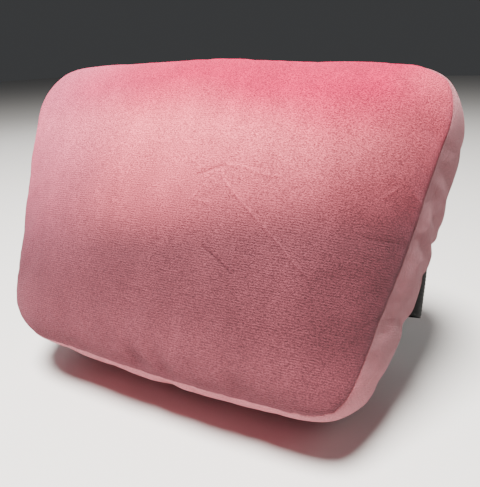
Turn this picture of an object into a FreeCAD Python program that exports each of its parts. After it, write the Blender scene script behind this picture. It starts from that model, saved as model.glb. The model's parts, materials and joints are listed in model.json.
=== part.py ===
"""Boxed plush travel cushion with a zip-off cover, a fibre-filled insert and an elastic seat strap.

While it is built, X runs across the cushion, Y through its depth from the front seam to the back,
and Z up the front panel, with the middle of the front seam at the origin. At the end the whole
cushion leans back and stands on its flattened lower back, and the origin moves to the surface it
stands on, in the middle of its outer box.
"""

import FreeCAD, Part
import math
import os

from FreeCAD import Vector

# Cushion, in millimetres and degrees
MID_WIDTH = 380.0  # across the front panel, half way up
FLARE = 49.0  # half the difference between the top and the bottom width
HEIGHT = 280.0  # of the front panel, seam to seam
CORNER = 38.0  # radius of the panels' corners
SIDE_BOW = 5.5  # how far the sides curve out between their corners
DEPTH = 110.0  # width of the boxing, seam to seam
BOXING_CROWN = 9.0  # how far the boxing bulges half way between its seams
FRONT_CROWN = 38.0  # how far the front panel bulges
BACK_CROWN = 58.0  # how far the back panel bulges
BACK_SAG = 45.0  # how far the fullest point of the back hangs below the middle
LEAN = 31.6  # backward lean of the front seam
SEAT_HEIGHT = 177.5  # from the surface it stands on to the middle of the front seam

# Layers, each given by how far its outer face is set in from the cover's outer face
COVER = 2.0  # thickness of the plush cover
CASE_INSET = 5.2  # outer face of the insert's case
CASE = 0.8  # thickness of the insert's case
FILL_GAP = 0.2  # between the case and the fibre fill

# Crown curves: the share of the full crown left at a share s of the outline is (1 - s^power)^root
FRONT_CURVE = (2.6, 0.75)
BACK_CURVE = (3.0, 0.6)
RING_SCALES = (1.0, 0.985, 0.94, 0.86, 0.74, 0.58, 0.4, 0.2, 0.06)

# Zipper in the top boxing
ZIP_BAND = 150.0  # half length of the two boxing strips that hold the zipper
SLOT_HALF = 144.0  # half length of the opening between the strips
SLOT_GAP = 4.3  # half width of that opening
COIL_HALF = 138.0  # half length of the coils
COIL_IN = 0.9  # from the middle of the zipper to the inner edge of each tape and coil
COIL_WIDTH = 2.0
COIL_HEIGHT = 1.6
TAPE_WIDTH = 12.0
TAPE = 0.6
TAPE_DROP = 0.6  # from the inner face of the boxing to the top of the tapes
STOP_LENGTH = 3.0
STOP_HEIGHT = 1.8
SLIDER_REST = 131.0  # place of the slider's middle with the zipper closed
SLIDER_LENGTH = 10.0
SLIDER_HALF = 3.7
SLIDER_PLATE = 1.2
SLIDER_FLANGE = 0.6
SLIDER_PLAY = 0.2
POST_HALF = 0.6
ARCH_HALF = 1.5
ARCH_INNER = 1.7
ARCH_WALL = 0.9
PIVOT_RISE = 0.85  # from the slider's top plate to the axis of the pull
PULL_BAR = 0.6
PULL_HALF = 3.2
PULL_ARM = 1.3
PULL_NECK = 7.0
PULL_LENGTH = 26.0

# Elastic strap
STRAP_WIDTH = 60.0
STRAP_MIDDLE = -18.0  # height of its middle line on the back
STRAP = 1.6
LOOP_HALF = 202.0  # half width of the loose loop
LOOP_START = 140.0  # depth at which the loop is widest
LOOP_REACH = 64.0  # how much further back the loop goes
LOOP_POWER = 2.6
LOOP_TAIL = 27.0  # degrees of turn between the widest point and each sewn end
LOOP_POINTS = 26

# Thread and label
THREAD = 0.6  # radius of a row of lockstitch
THREAD_INSET = 0.9  # from the inner face of the cover
TACK_INSET = 1.4
LABEL_SIZE = (14.0, 0.5, 26.0)
LABEL_HEIGHT = 62.0

BIG = 1000.0
TOP = HEIGHT / 2 + BOXING_CROWN  # top of the cover half way between its seams
MIDDLE = DEPTH / 2


def half_width(z):
    """Half the panel's straight-sided width at a height."""
    return MID_WIDTH / 2 + FLARE * z / HEIGHT


def box(x, y, z):
    """Box between pairs of limits along the three directions."""
    low = Vector(x[0], y[0], z[0])
    return Part.makeBox(x[1] - x[0], y[1] - y[0], z[1] - z[0], low)


def outline(inset):
    """Closed outline of a panel, set in from its seam, in the plane of the front seam."""
    rise = HEIGHT / 2 - CORNER
    reach = CORNER / math.cos(math.atan(FLARE / HEIGHT))
    top = half_width(rise) - reach
    bottom = half_width(-rise) - reach
    bowed = (top + bottom) / 2 + SIDE_BOW
    top_left = Vector(-top, 0, rise)
    top_right = Vector(top, 0, rise)
    bottom_right = Vector(bottom, 0, -rise)
    bottom_left = Vector(-bottom, 0, -rise)
    edges = [
        Part.makeLine(top_left, top_right),
        Part.Arc(top_right, Vector(bowed, 0, 0), bottom_right).toShape(),
        Part.makeLine(bottom_right, bottom_left),
        Part.Arc(bottom_left, Vector(-bowed, 0, 0), top_left).toShape(),
    ]
    return Part.Wire(edges).makeOffset2D(CORNER - inset)


def ring(wire, scale, depth, drop=0.0):
    """Copy of an outline, scaled about the middle and moved to a depth."""
    copy = wire.copy()
    copy.scale(scale)
    copy.translate(Vector(0, depth, -drop))
    return copy


def crowned(inset, start, crown, curve, sag):
    """Closed crowned solid on a panel's outline; a negative crown bulges to the front."""
    wire = outline(inset)
    height = crown - math.copysign(inset, crown)
    power, root = curve
    rings = []
    for scale in RING_SCALES:
        rise = height * (1 - scale**power) ** root
        rings.append(ring(wire, scale, start + rise, sag * (1 - scale)))
    return Part.makeLoft(rings, True, False)


def above_surface(inset):
    """Everything over the surface the cushion stands on, by more than an inset."""
    space = box((-BIG, BIG), (-BIG, BIG), (inset, BIG))
    space.translate(Vector(0, 0, -SEAT_HEIGHT))
    space.rotate(Vector(0, 0, 0), Vector(1, 0, 0), LEAN)
    return space


def front_body(inset):
    """Solid in front of the front seam."""
    return crowned(inset, 0.0, -FRONT_CROWN, FRONT_CURVE, 0.0)


def middle_body(inset):
    """Solid between the two seams, bulging half way."""
    rings = [
        ring(outline(inset), 1.0, 0.0),
        ring(outline(inset - BOXING_CROWN), 1.0, MIDDLE),
        ring(outline(inset), 1.0, DEPTH),
    ]
    return Part.makeLoft(rings, True, False).common(above_surface(inset))


def back_body(inset):
    """Solid behind the rear seam, flattened where it stands."""
    body = crowned(inset, DEPTH, BACK_CROWN, BACK_CURVE, BACK_SAG)
    return body.common(above_surface(inset))


def cover_panels():
    """The plush cover's five cut pieces."""
    boxing = middle_body(0).cut(middle_body(COVER))
    band = box((-ZIP_BAND, ZIP_BAND), (-BIG, BIG), (0, BIG))
    slot = box((-SLOT_HALF, SLOT_HALF), (MIDDLE - SLOT_GAP, MIDDLE + SLOT_GAP), (0, BIG))
    strips = boxing.common(band).cut(slot)
    return {
        "front_panel": front_body(0).cut(front_body(COVER)),
        "back_panel": back_body(0).cut(back_body(COVER)),
        "main_boxing": boxing.cut(band),
        "zip_boxing_front": strips.common(box((-BIG, BIG), (-BIG, MIDDLE), (0, BIG))),
        "zip_boxing_rear": strips.common(box((-BIG, BIG), (MIDDLE, BIG), (0, BIG))),
    }


def insert_pieces():
    """The insert: a white case of two cups, sewn half way, and its fibre fill."""
    inside = CASE_INSET + CASE
    fill = inside + FILL_GAP
    front_half = box((-BIG, BIG), (-BIG, MIDDLE), (-BIG, BIG))
    back_half = box((-BIG, BIG), (MIDDLE, BIG), (-BIG, BIG))
    boxing = middle_body(CASE_INSET).cut(middle_body(inside))
    front = front_body(CASE_INSET).cut(front_body(inside))
    back = back_body(CASE_INSET).cut(back_body(inside))
    return {
        "insert_case_front": front.fuse(boxing.common(front_half)),
        "insert_case_back": back.fuse(boxing.common(back_half)),
        "fibre_fill": middle_body(fill).fuse([front_body(fill), back_body(fill)]),
    }


def on_side(side, inner, outer, x, z):
    """Box at one side of the zipper's middle line; side is -1 for the front and 1 for the rear."""
    near = MIDDLE + side * inner
    far = MIDDLE + side * outer
    return box(x, (min(near, far), max(near, far)), z)


def tape_top():
    """Height of the zipper tapes' upper face."""
    return TOP - COVER - TAPE_DROP


def zipper_chain():
    """Tapes, coils and end stops of the zipper."""
    top = tape_top()
    outer = COIL_IN + COIL_WIDTH
    coil_x = (-COIL_HALF, COIL_HALF)
    pieces = {}
    for side, name in ((-1, "front"), (1, "rear")):
        tape_x = (-SLOT_HALF, SLOT_HALF)
        tape = on_side(side, COIL_IN, COIL_IN + TAPE_WIDTH, tape_x, (top - TAPE, top))
        coil = on_side(side, COIL_IN, outer, coil_x, (top, top + COIL_HEIGHT))
        pieces["zipper_tape_" + name] = tape
        pieces["zipper_coil_" + name] = rounded_coil(coil)
    stop_z = (top, top + STOP_HEIGHT)
    far_x = (COIL_HALF, COIL_HALF + STOP_LENGTH)
    near_x = (-COIL_HALF - STOP_LENGTH, -COIL_HALF)
    stops = [on_side(side, COIL_IN, outer, far_x, stop_z) for side in (-1, 1)]
    pieces["zipper_top_stops"] = Part.makeCompound(stops)
    pieces["zipper_bottom_stop"] = box(near_x, (MIDDLE - outer, MIDDLE + outer), stop_z)
    return pieces


def rounded_coil(coil):
    """A coil with its two upper long edges rounded."""
    top = coil.BoundBox.ZMax
    long_edges = [e for e in coil.Edges if e.BoundBox.ZMin > top - 0.01 and e.Length > COIL_HALF]
    return coil.makeFillet(COIL_HEIGHT * 0.4, long_edges)


def pivot_height():
    """Height of the axis that the pull turns about."""
    return tape_top() + COIL_HEIGHT + SLIDER_PLAY + SLIDER_PLATE + PIVOT_RISE


def zipper_slider():
    """Slider: a plate over and under the chain, joined by a post, with an arch for the pull."""
    x = (SLIDER_REST - SLIDER_LENGTH / 2, SLIDER_REST + SLIDER_LENGTH / 2)
    width = (MIDDLE - SLIDER_HALF, MIDDLE + SLIDER_HALF)
    plate_z = tape_top() + COIL_HEIGHT + SLIDER_PLAY
    under_z = tape_top() - TAPE - SLIDER_PLAY
    upper = box(x, width, (plate_z, plate_z + SLIDER_PLATE))
    lower = box(x, width, (under_z - SLIDER_PLATE, under_z))
    post = box(
        (SLIDER_REST, x[1]),
        (MIDDLE - POST_HALF, MIDDLE + POST_HALF),
        (under_z, plate_z),
    )
    flange_z = (tape_top() + SLIDER_PLAY, plate_z)
    inner = SLIDER_HALF - SLIDER_FLANGE
    flanges = [on_side(side, inner, SLIDER_HALF, x, flange_z) for side in (-1, 1)]
    base = plate_z + SLIDER_PLATE
    across = (MIDDLE - ARCH_HALF, MIDDLE + ARCH_HALF)
    arch_x = (x[0] + ARCH_WALL, x[1] - ARCH_WALL)
    gap_x = (arch_x[0] + ARCH_WALL, arch_x[1] - ARCH_WALL)
    arch = box(arch_x, across, (base, base + ARCH_INNER + ARCH_WALL))
    gap = box(gap_x, across, (base, base + ARCH_INNER))
    return upper.fuse([lower, post, arch.cut(gap)] + flanges)


def zipper_pull():
    """Pull tab, lying back over the closed chain, with a bar that passes under the arch."""
    height = pivot_height()
    z = (height - PULL_BAR, height + PULL_BAR)
    start = Vector(SLIDER_REST, MIDDLE - PULL_HALF, height)
    bar = Part.makeCylinder(PULL_BAR, 2 * PULL_HALF, start, Vector(0, 1, 0))
    neck_x = SLIDER_REST - PULL_NECK
    end_x = SLIDER_REST - PULL_LENGTH
    inner = PULL_HALF - PULL_ARM
    arms = [on_side(side, inner, PULL_HALF, (neck_x, SLIDER_REST), z) for side in (-1, 1)]
    tab = box((end_x, neck_x), (MIDDLE - PULL_HALF, MIDDLE + PULL_HALF), z)
    tip = Vector(end_x, MIDDLE, z[0])
    rounded = Part.makeCylinder(PULL_HALF, 2 * PULL_BAR, tip, Vector(0, 0, 1))
    return bar.fuse(arms + [tab, rounded])


def loop_point(turn, grow):
    """Point of the strap's loop at a turn in degrees, on the loop grown by a distance."""
    angle = math.radians(turn)
    share = 2 / LOOP_POWER
    across = abs(math.cos(angle)) ** share
    along = abs(math.sin(angle)) ** share
    x = math.copysign((LOOP_HALF + grow) * across, math.cos(angle))
    y = LOOP_START + math.copysign((LOOP_REACH + grow) * along, math.sin(angle))
    return Vector(x, y, STRAP_MIDDLE - STRAP_WIDTH / 2)


def loop_curve(grow):
    """Smooth curve along the strap's loop."""
    sweep = 180 + 2 * LOOP_TAIL
    turns = [sweep * k / LOOP_POINTS - LOOP_TAIL for k in range(LOOP_POINTS + 1)]
    curve = Part.BSplineCurve()
    curve.interpolate([loop_point(turn, grow) for turn in turns])
    return curve.toShape()


def elastic_strap():
    """Wide elastic band, sewn into both sides of the rear seam, standing loose off the back."""
    outer = loop_curve(STRAP / 2)
    inner = loop_curve(-STRAP / 2)
    ends = [
        Part.makeLine(outer.Vertexes[i].Point, inner.Vertexes[i].Point) for i in (0, 1)
    ]
    profile = Part.Face(Part.Wire(Part.__sortEdges__([outer, ends[1], inner, ends[0]])))
    band = profile.extrude(Vector(0, 0, STRAP_WIDTH))
    return band.cut([middle_body(0), back_body(0)])


def seam_thread(depth):
    """Row of stitching round a seam, just inside the cover."""
    path = ring(outline(COVER + THREAD_INSET), 1.0, depth)
    edge = path.Edges[0]
    start = edge.valueAt(edge.FirstParameter)
    along = edge.tangentAt(edge.FirstParameter)
    section = Part.Wire(Part.makeCircle(THREAD, start, along))
    return path.makePipeShell([section], True, False)


def strap_tack(side):
    """Reinforcing stitches that hold one end of the strap, inside the rear seam."""
    depth = DEPTH - 3 * THREAD_INSET
    ends = []
    for z in (STRAP_MIDDLE - STRAP_WIDTH / 2, STRAP_MIDDLE + STRAP_WIDTH / 2):
        x = half_width(z) + SIDE_BOW - COVER - TACK_INSET
        ends.append(Vector(side * x, depth, z))
    along = ends[1] - ends[0]
    return Part.makeCylinder(THREAD, along.Length, ends[0], along)


def care_label():
    """Blank folded label, sewn into the rear seam at the left side."""
    length, thickness, width = LABEL_SIZE
    x = -half_width(LABEL_HEIGHT) - SIDE_BOW - length / 2
    low = Vector(x, DEPTH, LABEL_HEIGHT)
    label = Part.makeBox(length, thickness, width, low)
    return label.cut([middle_body(0), back_body(0)])


def cushion():
    """Every piece by name, upright."""
    pieces = cover_panels()
    pieces.update(insert_pieces())
    pieces.update(zipper_chain())
    pieces["zipper_slider"] = zipper_slider()
    pieces["zipper_pull"] = zipper_pull()
    pieces["elastic_strap"] = elastic_strap()
    pieces["front_seam_thread"] = seam_thread(THREAD_INSET)
    pieces["rear_seam_thread"] = seam_thread(DEPTH - THREAD_INSET)
    pieces["strap_tack_left"] = strap_tack(-1)
    pieces["strap_tack_right"] = strap_tack(1)
    pieces["care_label"] = care_label()
    return pieces


def stand(pieces):
    """Lean the pieces back and centre their outer box over the origin."""
    for shape in pieces.values():
        shape.rotate(Vector(0, 0, 0), Vector(1, 0, 0), -LEAN)
        shape.translate(Vector(0, 0, SEAT_HEIGHT))
    boxes = [shape.optimalBoundingBox(False, False) for shape in pieces.values()]
    centre = (min(b.YMin for b in boxes) + max(b.YMax for b in boxes)) / 2
    for shape in pieces.values():
        shape.translate(Vector(0, -centre, 0))
    return centre


def main():
    os.makedirs("parts", exist_ok=True)
    pieces = cushion()
    centre = stand(pieces)
    print("middle of the box behind the front seam's middle:", round(centre, 3))
    for name, shape in pieces.items():
        shape.exportStep("parts/" + name + ".step")
        print(name, len(shape.Solids), shape.isValid(), round(shape.Volume / 1000, 2))


main()
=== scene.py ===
"""Looks of the boxed plush travel cushion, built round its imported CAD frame.

The cushion is shaped upright first: X across it, Y through its depth from the front seam to the
back, Z up the front panel, with the middle of the front seam at the origin. to_frame() leans it
back into the row frame. Lengths are in metres where no comment says otherwise.
"""

import json
import math

import bpy
import numpy as np
from mathutils import Matrix, Vector
from mathutils.geometry import delaunay_2d_cdt
from mathutils.kdtree import KDTree

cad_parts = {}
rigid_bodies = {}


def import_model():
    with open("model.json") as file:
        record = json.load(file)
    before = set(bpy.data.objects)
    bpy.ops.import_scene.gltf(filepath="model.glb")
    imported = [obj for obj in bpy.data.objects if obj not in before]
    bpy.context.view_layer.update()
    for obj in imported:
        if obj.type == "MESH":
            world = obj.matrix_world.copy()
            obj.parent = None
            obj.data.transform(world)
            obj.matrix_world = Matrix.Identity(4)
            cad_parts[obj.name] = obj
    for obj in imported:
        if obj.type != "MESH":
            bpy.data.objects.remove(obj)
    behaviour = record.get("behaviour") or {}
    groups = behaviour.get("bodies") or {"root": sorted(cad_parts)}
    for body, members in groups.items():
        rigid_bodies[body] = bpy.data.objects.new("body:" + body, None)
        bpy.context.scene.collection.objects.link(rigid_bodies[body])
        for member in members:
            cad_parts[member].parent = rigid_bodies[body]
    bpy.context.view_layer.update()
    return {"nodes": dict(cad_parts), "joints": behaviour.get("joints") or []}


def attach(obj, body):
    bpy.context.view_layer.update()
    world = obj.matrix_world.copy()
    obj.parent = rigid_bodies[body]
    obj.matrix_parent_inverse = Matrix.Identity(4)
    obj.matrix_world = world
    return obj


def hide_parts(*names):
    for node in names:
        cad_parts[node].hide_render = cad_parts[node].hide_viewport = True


for start_object in list(bpy.data.objects):
    bpy.data.objects.remove(start_object)

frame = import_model()

BODY = "cushion"

# Cushion
MID_HALF = 0.190  # half the front panel's width, half way up
FLARE = 0.049  # half the difference between the top and the bottom width
HEIGHT = 0.280
DEPTH = 0.110
CORNERS = (0.052, 0.036, 0.033, 0.050)  # radii: top left, top right, bottom right, bottom left
SIDE_BOW = 0.0055
BOXING_CROWN = 0.009
TOP_BOW = 0.0045
TOP_BOW_DEPTH = 0.042
FRONT_CROWN = 0.039
BACK_CROWN = 0.056
BACK_SAG = 0.045
FRONT_CURVE = (2.6, 0.75)  # powers of the crown's profile
BACK_CURVE = (3.0, 0.6)
SPACING = 0.0040  # between the points of the cloth
INNERMOST = 0.85  # of a step, from the outline to the net inside it
OUTLINE_ROUNDS = 10  # of evening out the outline, where its corners meet its sides
BOXING_ROWS = 13  # on each side of the zipper's slot
CLOTH = 0.0012  # thickness of the plush
TINY = 1e-3  # for telling places apart
LEAST = 1e-12  # keeps a division by a length from failing

# Insert
CASE_INSET = 0.0056  # from the cover's outer face to the insert's case
CASE = 0.0008
FILL_INSET = 0.0068
PRESSED_MORE = 1.15  # how much deeper than the cover's own dents the insert's are
PRESSED_WIDER = 2.0

# The filled cover: shares of what the cloth simulation does, and the most a point may move
SWELL = 0.35
FRONT_FOLDS = 0.3
SIDE_FOLDS = 0.75
BACK_FOLDS = 0.8
MOST_MOVE = 0.006
SWELL_ROUNDS = 80  # of evening out the moves, which leaves the swelling without its folds
ZIPPER_MARGIN = 0.004  # held cloth beside the zipper's band
FRAMES = 20
CLOTH_SETTINGS = {
    "quality": 5,
    "mass": 0.3,
    "tension_stiffness": 25,
    "compression_stiffness": 12,
    "shear_stiffness": 8,
    "bending_stiffness": 0.6,
    "use_pressure": True,
    "uniform_pressure_force": 5,
    "vertex_group_mass": "pins",
    "vertex_group_shrink": "seams",
    "shrink_min": -0.022,
    "shrink_max": 0.004,
}

# How an edge turns into its seam: steps in millimetres on along the cloth, aside and down
SEAM_TURN = ((0.7, 0, 0.03), (0.3, 0, 0.3), (0, 0.08, 0.85), (0, 0.01, 2.2), (0, 0.01, 4.2))
SLOT_TURN = ((0.9, 0, 0), (0.25, 0, 0.25), (0, 0.05, 0.8), (0, 0.05, 1.2), (0, 0.05, 1.7))
CUT = ("front_panel", "back_panel", "main_boxing", "zip_boxing_front", "zip_boxing_rear", "slot")

# Small irregular tucks at the seams
PUCKER = 0.0010  # the deepest
TUCK_STEPS = (2, 7)  # points of the outline from one to the next
TUCK_REACH = (0.006, 0.016)
TUCK_DEEP = (0.3, 1.0)
TUCK_WIDTH = (1.6, 3.2)  # in millimetres
TUCK_LEAN = (-0.35, 0.35)
PANEL_TUCKS = 0.2  # how deep they are on the panels, as a share of the boxing's
REAR_TUCKS = 0.55
FRONT_TUCKS = 0.25
BOTTOM_TUCKS = 0.75  # more of them along the bottom of the front seam

# Faint pressed folds on the front panel: points as (x, height), and their strength: a ridge with a
# painted highlight (+) or a groove with painted shade (-)
PRESSED_FOLDS = (
    (((0.033, 0.024), (0.045, 0.030), (0.054, 0.033)), -0.9),
    (((0.054, 0.033), (0.066, 0.034), (0.083, 0.029), (0.095, 0.029)), 0.7),
    (((0.052, 0.029), (0.056, 0.020), (0.072, 0.007), (0.088, -0.006)), 0.9),
    (((0.088, -0.006), (0.106, -0.020), (0.120, -0.033), (0.129, -0.039)), 0.8),
    (((0.033, 0.007), (0.031, 0.003), (0.047, 0.002)), 0.7),
    (((0.049, -0.032), (0.060, -0.038), (0.074, -0.047)), -1.0),
    (((0.074, -0.027), (0.075, -0.045)), 0.5),
    (((0.172, 0.028), (0.176, 0.032), (0.179, 0.035)), 0.7),
    (((0.190, 0.033), (0.198, 0.028)), 0.4),
    (((0.165, -0.005), (0.180, -0.004)), -0.5),
    (((-0.018, -0.081), (-0.006, -0.085)), 0.6),
    (((-0.004, -0.071), (0.007, -0.074)), 0.5),
)
FOLD_REACH = 0.006
FOLD_WIDTH = 0.0015
FOLD_DEPTH = 0.0008
FOLD_END = 0.004

# Soft hollows on the front panel: start and end as (x, height), how deep, how wide
FRONT_HOLLOWS = (
    ((0.206, 0.078), (0.188, 0.086), 0.0022, 0.0045),
    ((0.200, 0.012), (0.176, 0.024), 0.0026, 0.0075),
    ((0.196, -0.006), (0.170, -0.008), 0.0014, 0.0050),
    ((0.203, 0.052), (0.186, 0.050), 0.0012, 0.0055),
    ((0.189, -0.040), (0.165, -0.034), 0.0012, 0.0070),
    ((0.207, 0.100), (0.197, 0.105), 0.0010, 0.0035),
    ((0.182, -0.082), (0.160, -0.076), 0.0012, 0.0080),
    ((-0.195, 0.010), (-0.170, 0.012), 0.0012, 0.0080),
    ((-0.186, -0.050), (-0.160, -0.044), 0.0014, 0.0080),
    ((-0.205, 0.070), (-0.180, 0.062), 0.0012, 0.0080),
    ((-0.004, -0.140), (-0.016, -0.112), 0.0030, 0.0060),
    ((0.022, -0.140), (0.012, -0.116), 0.0026, 0.0050),
    ((0.092, -0.140), (0.076, -0.118), 0.0024, 0.0060),
)
HOLLOW_END = 0.8  # how much of its depth a hollow has lost at its end
HOLLOW_WIDER = 1.5
HOLLOW_FADE = 0.016  # from a seam to where a hollow is at its full depth
HOLLOW_DARKEST = 0.0025  # depth at which a hollow's painted shade is at its darkest

# Dents in the sides: side, start and end as (depth, height), how deep, how wide
SIDE_DENTS = (
    (1, (0.113, 0.086), (0.030, 0.096), 0.0080, 0.0075),
    (1, (0.112, 0.062), (0.020, 0.056), 0.0050, 0.0200),
    (1, (0.112, 0.045), (0.045, 0.054), 0.0070, 0.0070),
    (1, (0.112, 0.006), (0.020, 0.020), 0.0085, 0.0075),
    (1, (0.112, -0.054), (0.030, -0.060), 0.0080, 0.0075),
    (1, (0.060, 0.118), (0.110, 0.112), 0.0022, 0.0045),
    (1, (0.030, -0.105), (0.100, -0.112), 0.0025, 0.0070),
    (-1, (0.112, 0.040), (0.045, 0.048), 0.0050, 0.0080),
    (-1, (0.112, 0.004), (0.040, 0.012), 0.0060, 0.0070),
    (-1, (0.112, -0.052), (0.040, -0.060), 0.0060, 0.0075),
    (-1, (0.030, -0.100), (0.090, -0.108), 0.0022, 0.0070),
    (-1, (0.112, 0.112), (0.050, 0.118), 0.0040, 0.0060),
)
DENTED = 0.12  # how far out the sides begin

# Zipper
ZIP_BAND = 0.150
SLOT_HALF = 0.144
SLOT_GAP = 0.0043
PIVOT = (0.131, 0.055, 0.15025)  # axis of the zipper's pull on the upright cushion
TAPE_TOP = 0.1464
TAPE_IN = 0.0009  # from the zipper's middle to the tape's inner edge
TAPE_WIDTH = 0.012
TAPE = 0.0006
TAPE_WAVE = 0.00012
COIL_HALF = 0.138
COIL_PITCH = 0.0015
COIL_MIDDLE = 0.00185
COIL_REACH = 0.00085
COIL_RISE = 0.0008
COIL_HIGH = 0.00048
COIL_WIRE = 0.00032
COIL_STEPS = 12  # points in one turn
TOPSTITCH = 0.003  # from the slot's fold to its row of stitches
TOPSTITCH_END = 0.002
STITCH = 0.0026
STITCH_GAP = 0.0007
STITCH_THICK = 0.00028
STOP_EDGE = 0.0004  # width of the rounding
SLIDER_EDGE = 0.0003

# Strap
STRAP_WIDTH = 0.060
STRAP_MIDDLE = -0.018
STRAP = 0.0016
STRAP_STEP = 0.004
STRAP_LIFT = 0.0016
STRAP_RIPPLE = 0.0006
RIB_PITCH = 0.00375
RIB_DEPTH = 0.00035
LOOP = (0.202, 0.140, 0.064)  # half width, depth where it is widest, further reach
LOOP_POWER = 2.6
LOOP_TAIL = math.radians(27)
TACK_FROM = 0.004  # from the rear seam to the tack
TACK_TURNS = 64
TACK_WIDE = 0.9  # steps of the strap's path
TACK_EDGE = 0.002
TACK_LIFT = 0.0001
TACK_THICK = 0.00035

# Thread and label
TUBE_SIDES = 6
THREAD_DEPTH = 0.0012
THREAD_THICK = 0.0003
THREAD_STEP = 0.001
THREAD_TWIST = 0.003
LABEL_LOW = 0.062
LABEL_WIDTH = 0.026
LABEL_OUT = 0.010
LABEL_INSIDE = 0.003
LABEL_GAP = 0.0005
LABEL_THICK = 0.0002
LABEL_BEND = 0.0006
LABEL_LEAN = 0.0015
LABEL_ROWS = 14


# ---- places

HINGE = next(joint for joint in frame["joints"] if joint["name"] == "pull_hinge")


def lean_matrix():
    """Rotation from the upright cushion to the row frame, from the direction of the pull's axis."""
    angle = math.atan2(-HINGE["axis"][2], HINGE["axis"][1])
    c, s = math.cos(angle), math.sin(angle)
    return np.array([[1, 0, 0], [0, c, s], [0, -s, c]])


TURN = lean_matrix()
ORIGIN = np.array(HINGE["pos_m"]) - TURN @ np.array(PIVOT)


def to_frame(points):
    """Points on the upright cushion, in the row frame."""
    return np.asarray(points, float) @ TURN.T + ORIGIN


def to_upright(points):
    """Points in the row frame, on the upright cushion."""
    return (np.asarray(points, float) - ORIGIN) @ TURN


def unit(vectors):
    return vectors / np.maximum(np.linalg.norm(vectors, axis=1), LEAST)[:, None]


def square_to(vectors, axes):
    """Unit vectors of what some vectors have square to some axes."""
    return unit(vectors - (vectors * axes).sum(1)[:, None] * axes)


def superellipse(values, power):
    return np.sign(values) * np.abs(values) ** power


def run_along(path):
    """Length along a path up to each of its points."""
    return np.concatenate([[0], np.cumsum(np.linalg.norm(np.diff(path, axis=0), axis=1))])


def at_lengths(path, run, wanted):
    """Points of a path at the wanted lengths along it."""
    return np.stack([np.interp(wanted, run, column) for column in path.T], axis=-1)


def tree_of(points):
    """Search tree of some points."""
    tree = KDTree(len(points))
    for k, point in enumerate(points):
        tree.insert(point, k)
    tree.balance()
    return tree


# ---- meshes


def placed(name, data):
    """New object of the scene."""
    obj = bpy.data.objects.new(name, data)
    bpy.context.scene.collection.objects.link(obj)
    return obj


def new_object(name, verts, faces):
    """Smooth mesh object from points in the row frame."""
    mesh = bpy.data.meshes.new(name)
    mesh.from_pydata([tuple(v) for v in verts], [], [tuple(f) for f in faces])
    mesh.update()
    mesh.shade_smooth()
    return placed(name, mesh)


def finished(obj, slot, *replaced, body=BODY):
    """Give a piece its look and slot, let it ride, and hide the CAD nodes it stands for."""
    obj.data.materials.clear()
    obj.data.materials.append(LOOKS[slot])
    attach(obj, body)
    if replaced:
        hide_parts(*replaced)
    return obj


def applied(obj):
    """The object with its modifiers applied."""
    shown = obj.evaluated_get(bpy.context.evaluated_depsgraph_get())
    mesh = bpy.data.meshes.new_from_object(shown)
    obj.modifiers.clear()
    obj.data = mesh
    return obj


def shell(obj, thickness):
    """Give a piece of cloth its thickness, inwards."""
    modifier = obj.modifiers.new("thickness", "SOLIDIFY")
    modifier.thickness = thickness
    modifier.offset = -1
    return applied(obj)


def add_attribute(obj, name, values, kind="FLOAT", domain="POINT"):
    attribute = obj.data.attributes.new(name, kind, domain)
    attribute.data.foreach_set("value", np.asarray(values, np.int32 if kind == "INT" else np.float32))


def read(items, name, width=1, kind=np.float32):
    """One property of all the items of a mesh."""
    values = np.zeros(len(items) * width, kind)
    items.foreach_get(name, values)
    return values


def edge_pairs(face):
    return [(min(a, b), max(a, b)) for a, b in zip(face, face[1:] + face[:1])]


def smoothed(values, edges, rounds):
    """Values at points, each averaged with its neighbours for some rounds."""
    n = len(values)
    a, b = edges[:, 0], edges[:, 1]
    count = np.bincount(a, minlength=n) + np.bincount(b, minlength=n)
    out = values.astype(float).copy()
    for _ in range(rounds):
        total = np.empty_like(out)
        for k in range(out.shape[1]):
            total[:, k] = np.bincount(a, out[b, k], n) + np.bincount(b, out[a, k], n)
        out = 0.5 * out + 0.5 * total / np.maximum(count, 1)[:, None]
    return out


def normals_of(verts, faces):
    """Outward unit normals at the points of a closed mesh."""
    total = np.zeros_like(verts)
    for size in (3, 4):
        chosen = np.array([f for f in faces if len(f) == size])
        if not len(chosen):
            continue
        p = verts[chosen]
        normal = np.cross(p[:, 2] - p[:, 0], p[:, -1] - p[:, 1])
        for k in range(size):
            np.add.at(total, chosen[:, k], normal)
    return unit(total)


def grid(rows, size, closed=True):
    """Faces between neighbouring rows of equally many points."""
    faces = []
    for a in range(0, (rows - 1) * size, size):
        for i in range(size if closed else size - 1):
            j = (i + 1) % size
            faces.append([a + i, a + size + i, a + size + j, a + j])
    return faces


# ---- outline


def corner_arc(index):
    """Centre, first and last point of a rounded corner, clockwise from the top left one."""
    top, low, high = MID_HALF + FLARE / 2, MID_HALF - FLARE / 2, HEIGHT / 2
    points = np.array([(-top, high), (top, high), (low, -high), (-low, -high)])
    p, before, after = points[index], points[index - 1], points[(index + 1) % 4]
    radius = CORNERS[index]
    u = (before - p) / np.linalg.norm(before - p)
    v = (after - p) / np.linalg.norm(after - p)
    half = math.acos(float(u @ v)) / 2
    centre = p + (u + v) / np.linalg.norm(u + v) * radius / math.sin(half)
    reach = radius / math.tan(half)
    return centre, p + u * reach, p + v * reach


def rounded_corner(index):
    """Points along one corner, without its last one."""
    centre, first, last = corner_arc(index)
    radius = CORNERS[index]
    start = math.atan2(*(first - centre)[::-1])
    sweep = (math.atan2(*(last - centre)[::-1]) - start + math.pi) % (2 * math.pi) - math.pi
    count = max(4, round(abs(sweep) * radius / SPACING))
    angles = start + sweep * np.arange(count) / count
    return centre + radius * np.column_stack([np.cos(angles), np.sin(angles)])


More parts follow.
